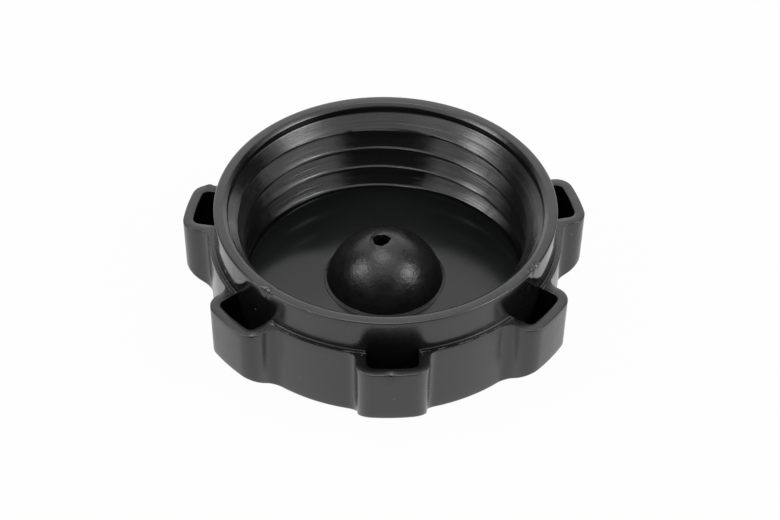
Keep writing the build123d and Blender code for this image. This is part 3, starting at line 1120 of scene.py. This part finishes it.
def baffle_material(s):
    """Mottled satin plastic."""
    material, tree = new_material("baffle_plastic")
    place = object_place(tree)
    grain = place_group("Surface Grain", place, grain_scale=1500.0, wave_scale=420.0, grain_share=0.45)
    specks = place_group("Dust Specks", place, scale=380.0, size=0.11, amount=0.3)
    plain = mottled(grain["Tone"], s.baffle_colour, 0.7, 1.5)
    speck_colour = [part * 3 for part in s.baffle_colour]
    roughness = ranged(grain["Tone"], 0.27, 0.36, 0.35, 0.65)
    colour = blend_colours(specks["Mask"], plain, speck_colour)
    coat(tree, colour, roughness, 1.52, grain["Height"], 0.12 * MM)
    return material


def floor_material(s):
    """Pale floor that shows white, keeps a faint shadow and is clear from below."""
    material, tree = new_material("studio_floor")
    rays = add_node(tree, "ShaderNodeLightPath")
    seen = maths("MAXIMUM", rays["Is Camera Ray"], rays["Is Glossy Ray"])
    seen = maths("MAXIMUM", seen, rays["Is Transmission Ray"])
    matt = add_node(tree, "ShaderNodeBsdfDiffuse", {"Color": (*s.floor_colour, 1.0)})[0]
    glow = add_node(tree, "ShaderNodeEmission")[0]
    shown = add_node(tree, "ShaderNodeMixShader", {"Fac": seen * s.floor_white, 1: matt, 2: glow})[0]
    clear = add_node(tree, "ShaderNodeBsdfTransparent")[0]
    from_below = add_node(tree, "ShaderNodeNewGeometry")["Backfacing"]
    sides = {"Fac": from_below, 1: shown, 2: clear}
    one_way = add_node(tree, "ShaderNodeMixShader", sides, "clear from below")[0]
    add_node(tree, "ShaderNodeOutputMaterial", {"Surface": one_way})
    return material


# ---- operators --------------------------------------------------------------


def claim(piece, node):
    """The piece rides on the part's one body and stands for a CAD node."""
    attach(piece, "root")
    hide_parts(node)


class FILLER_CAP_OT_shell(bpy.types.Operator):
    """Builds the shell with its lobed grip, collar and internal thread"""

    bl_idname = "filler_cap.shell"
    bl_label = "Build Shell"

    def execute(self, context):
        shape, finish = context.scene.filler_cap_shell, context.scene.filler_cap_finish
        material = shell_material(finish, shape)
        mesh = shell_mesh(shape, material)
        wear_shell(shape, mesh)
        mesh.materials.clear()
        mesh.materials.append(material)
        smooth(mesh)
        claim(new_object("filler_cap_shell", mesh), "cap_shell")
        return {"FINISHED"}


class FILLER_CAP_OT_gasket(bpy.types.Operator):
    """Builds the flat gasket on the crown's inner face"""

    bl_idname = "filler_cap.gasket"
    bl_label = "Build Gasket"

    def execute(self, context):
        shape = context.scene.filler_cap_inserts
        mesh = turned_mesh("filler_cap_gasket", gasket_section(shape), TURNED_COLUMNS)
        press_hollow(shape, mesh)
        mesh.materials.append(gasket_material(context.scene.filler_cap_finish))
        smooth(mesh)
        claim(new_object("filler_cap_gasket", mesh), "sealing_gasket")
        return {"FINISHED"}


class FILLER_CAP_OT_baffle(bpy.types.Operator):
    """Builds the domed vent baffle"""

    bl_idname = "filler_cap.baffle"
    bl_label = "Build Baffle"

    def execute(self, context):
        shape = context.scene.filler_cap_inserts
        mesh = turned_mesh("filler_cap_baffle", baffle_section(shape), TURNED_COLUMNS)
        ragged_hole(shape, mesh)
        mesh.materials.append(baffle_material(context.scene.filler_cap_finish))
        smooth(mesh)
        claim(new_object("filler_cap_baffle", mesh), "vent_baffle")
        return {"FINISHED"}


class FILLER_CAP_OT_studio(bpy.types.Operator):
    """Builds the floor, the lamps, the world and the camera"""

    bl_idname = "filler_cap.studio"
    bl_label = "Build Studio"

    def execute(self, context):
        scene = context.scene
        signs = ((-1, -1), (1, -1), (1, 1), (-1, 1))
        corners = [(x * FLOOR_HALF, y * FLOOR_HALF, -FLOOR_GAP) for x, y in signs]
        mesh = bpy.data.meshes.new("studio_floor")
        mesh.from_pydata(corners, [], [(0, 1, 2, 3)])
        mesh.materials.append(floor_material(scene.filler_cap_finish))
        new_object("studio_floor", mesh)
        for name, direction, distance, width, depth, radiance in SOFTBOXES:
            add_softbox(name, Vector(direction).normalized(), distance, width, depth, radiance)
        world_around(scene)
        scene.camera = studio_camera()
        scene.view_settings.view_transform = "Standard"
        return {"FINISHED"}


def add_softbox(name, direction, distance, width, depth, radiance):
    """Rectangular lamp that faces the cap and shows at the given brightness."""
    lamp = bpy.data.lights.new(name, "AREA")
    lamp.shape = "RECTANGLE"
    lamp.size, lamp.size_y = width, depth
    lamp.energy = radiance * math.pi * width * depth
    holder = bpy.data.objects.new(name, lamp)
    bpy.context.scene.collection.objects.link(holder)
    place = Vector(LOOK_AT) + direction * distance
    holder.matrix_world = Matrix.Translation(place) @ direction.to_track_quat("Z", "Y").to_matrix().to_4x4()


def world_around(scene):
    """White to the camera, dimmer as a light. Shiny surfaces also see dark gaps between the white walls."""
    world = bpy.data.worlds.new("studio_world")
    world.use_nodes = True
    tree = world.node_tree
    tree.nodes.clear()
    rays = add_node(tree, "ShaderNodeLightPath")
    seen = maths("MAXIMUM", rays["Is Camera Ray"], rays["Is Transmission Ray"])
    x, y, z = parts_of(add_node(tree, "ShaderNodeTexCoord")["Generated"])
    side = abs(maths("ARCTAN2", x, y * -1.0))
    front = ranged(side, 1.0, 0.0, OPENING_HALF, OPENING_HALF + EDGE_SOFT)
    gaps = band(side, GAP_MIDDLE, GAP_HALF, EDGE_SOFT)
    low = ranged(z, 1.0, 0.0, OPENING_TOP, OPENING_TOP + OPENING_SOFT)
    white = ranged(y, TENT_SHINE, BACK_SHINE, BACK_FROM, BACK_TO)
    shine = ranged(maths("MAXIMUM", front, gaps) * low, white, OPENING_SHINE)
    other = rays["Is Glossy Ray"] * (shine - WORLD_FILL) + WORLD_FILL
    light = {"Strength": maths("MAXIMUM", seen, other), "Color": (1.0, 1.0, 1.0, 1.0)}
    sky = add_node(tree, "ShaderNodeBackground", light)[0]
    add_node(tree, "ShaderNodeOutputWorld", {"Surface": sky})
    scene.world = world


def studio_camera():
    """Camera above and in front of the cap, rolled a little."""
    lens = bpy.data.cameras.new("studio_camera")
    lens.sensor_width = SENSOR
    lens.lens = LENS
    lens.clip_start = 0.01
    camera = bpy.data.objects.new("studio_camera", lens)
    bpy.context.scene.collection.objects.link(camera)
    forward = (Vector(LOOK_AT) - Vector(EYE)).normalized()
    right = forward.cross(Vector((0, 0, 1))).normalized()
    up = right.cross(forward)
    level = Matrix((right, up, -forward)).transposed().to_4x4()
    camera.matrix_world = Matrix.Translation(EYE) @ level @ Matrix.Rotation(ROLL, 4, "Z")
    return camera


class FILLER_CAP_PT_panel(bpy.types.Panel):
    """Lists the cap's pieces and their sizes"""

    bl_idname = "FILLER_CAP_PT_panel"
    bl_label = "Filler Cap"
    bl_space_type = "VIEW_3D"
    bl_region_type = "UI"
    bl_category = "Filler Cap"

    def draw(self, context):
        for operator in OPERATORS:
            self.layout.operator(operator.bl_idname)
        for holder in SETTINGS:
            settings = getattr(context.scene, holder)
            box = self.layout.box()
            for name in settings.bl_rna.properties.keys():
                if name not in ("rna_type", "name"):
                    box.prop(settings, name)


SETTINGS = {
    "filler_cap_shell": FillerCapShellSettings,
    "filler_cap_inserts": FillerCapInsertSettings,
    "filler_cap_finish": FillerCapFinishSettings,
}
OPERATORS = (FILLER_CAP_OT_shell, FILLER_CAP_OT_gasket, FILLER_CAP_OT_baffle, FILLER_CAP_OT_studio)


def register():
    """Adds the classes and the scene's settings."""
    for kind in (*SETTINGS.values(), *OPERATORS, FILLER_CAP_PT_panel):
        bpy.utils.register_class(kind)
    for holder, kind in SETTINGS.items():
        setattr(bpy.types.Scene, holder, bpy.props.PointerProperty(type=kind))


def unregister():
    """Takes them away again."""
    for holder in SETTINGS:
        delattr(bpy.types.Scene, holder)
    for kind in reversed((*SETTINGS.values(), *OPERATORS, FILLER_CAP_PT_panel)):
        bpy.utils.unregister_class(kind)


def main():
    """Builds the whole cap and its studio."""
    register()
    bpy.ops.filler_cap.shell()
    bpy.ops.filler_cap.gasket()
    bpy.ops.filler_cap.baffle()
    bpy.ops.filler_cap.studio()


if __name__ == "__main__":
    main()
